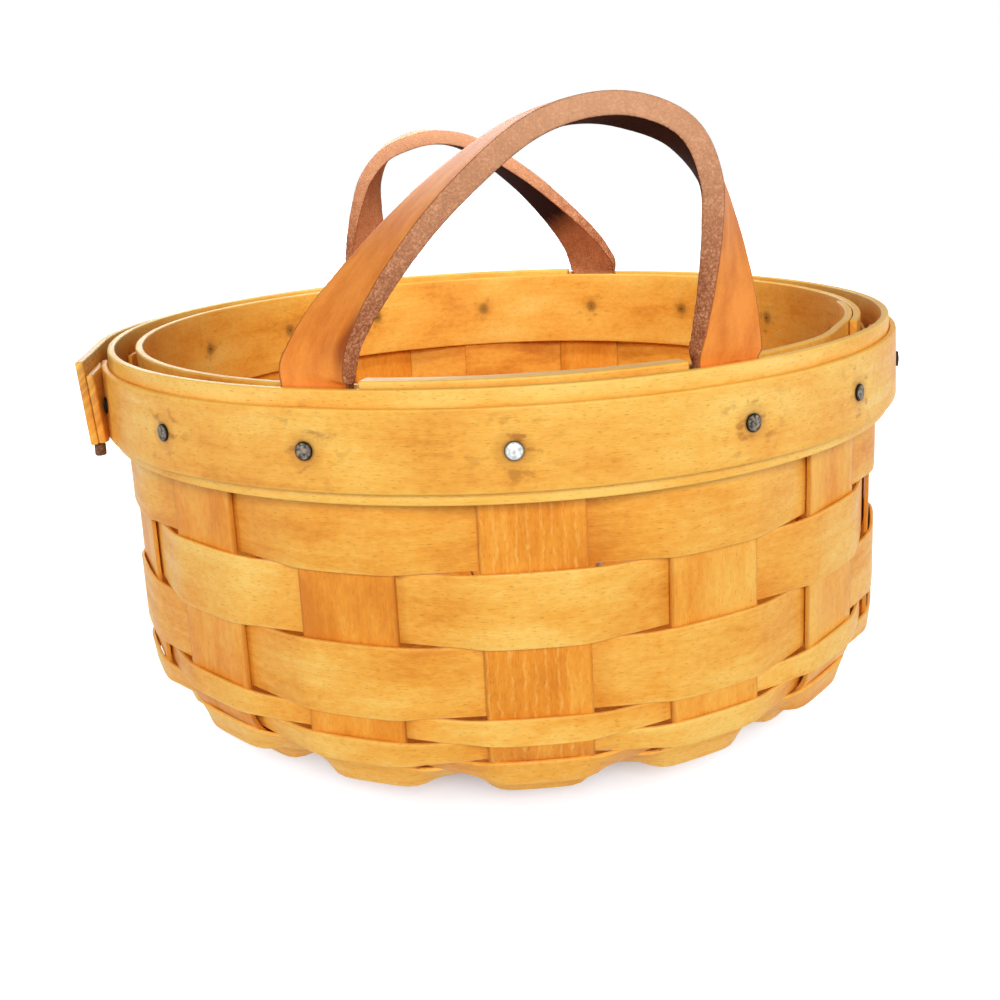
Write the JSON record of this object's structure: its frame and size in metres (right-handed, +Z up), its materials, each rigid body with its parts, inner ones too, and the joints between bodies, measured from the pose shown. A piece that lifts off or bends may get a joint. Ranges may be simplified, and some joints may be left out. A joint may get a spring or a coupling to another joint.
{
  "type": "woven splint basket",
  "caption": "Round woven wood splint basket with a nailed double rim and two leather strap handles that flex in and out.",
  "frame": {"origin": "centre of the base on its underside", "axes": "+Z up to the rim, -Y the front as pictured, +X to the right of the front"},
  "size_m": [0.2651, 0.261, 0.1853],
  "materials": {
    "maple_stake": "clear satin finish on upright splints",
    "maple_weaver": "clear satin finish on weavers",
    "maple_band": "clear satin finish on rim bands",
    "strap_leather": "smooth grain outside, raw cut edges",
    "tack_steel": "dull tack heads",
    "peg_wood": "dark end of a peg"
  },
  "bodies": {
    "basket": {"splint_1": "maple_stake", "splint_2": "maple_stake", "splint_3": "maple_stake", "splint_4": "maple_stake", "splint_5": "maple_stake", "splint_6": "maple_stake", "splint_7": "maple_stake", "splint_8": "maple_stake", "weaver_1": "maple_weaver", "weaver_2": "maple_weaver", "weaver_3": "maple_weaver", "weaver_4": "maple_weaver", "weaver_5": "maple_weaver", "weaver_6": "maple_weaver", "weaver_7": "maple_weaver", "weaver_8": "maple_weaver", "weaver_9": "maple_weaver", "rim_band_wide": "maple_band", "rim_band_narrow": "maple_band", "rim_band_inner": "maple_band", "rim_filler_front": "maple_band", "rim_filler_back": "maple_band", "splice_strip": "maple_band", "tack_1": "tack_steel", "tack_2": "tack_steel", "tack_3": "tack_steel", "tack_4": "tack_steel", "tack_5": "tack_steel", "tack_6": "tack_steel", "tack_7": "tack_steel", "tack_8": "tack_steel", "tack_9": "tack_steel", "tack_10": "tack_steel", "tack_11": "tack_steel", "tack_12": "tack_steel", "tack_13": "tack_steel", "tack_14": "tack_steel", "tack_15": "tack_steel", "tack_16": "tack_steel", "front_handle_end_left": "strap_leather", "front_handle_end_right": "strap_leather", "back_handle_end_left": "strap_leather", "back_handle_end_right": "strap_leather", "front_handle_flex_left": "strap_leather", "front_handle_flex_right": "strap_leather", "back_handle_flex_left": "strap_leather", "back_handle_flex_right": "strap_leather", "free_end_peg": "peg_wood"},
    "front_handle": {"front_handle_strap": "strap_leather"},
    "back_handle": {"back_handle_strap": "strap_leather"}
  },
  "joints": [
    {"name": "front_handle_flex", "type": "hinge", "parent": "basket", "child": "front_handle", "pos_m": [0, -0.112, 0.125], "axis": [1, 0, 0], "range_deg": [-60, 50], "stiffness_Nm_per_rad": 0.3, "deforming": ["front_handle_flex_left", "front_handle_flex_right"]},
    {"name": "back_handle_flex", "type": "hinge", "parent": "basket", "child": "back_handle", "pos_m": [0, 0.112, 0.125], "axis": [-1, 0, 0], "range_deg": [-60, 50], "stiffness_Nm_per_rad": 0.3, "deforming": ["back_handle_flex_left", "back_handle_flex_right"]}
  ]
}
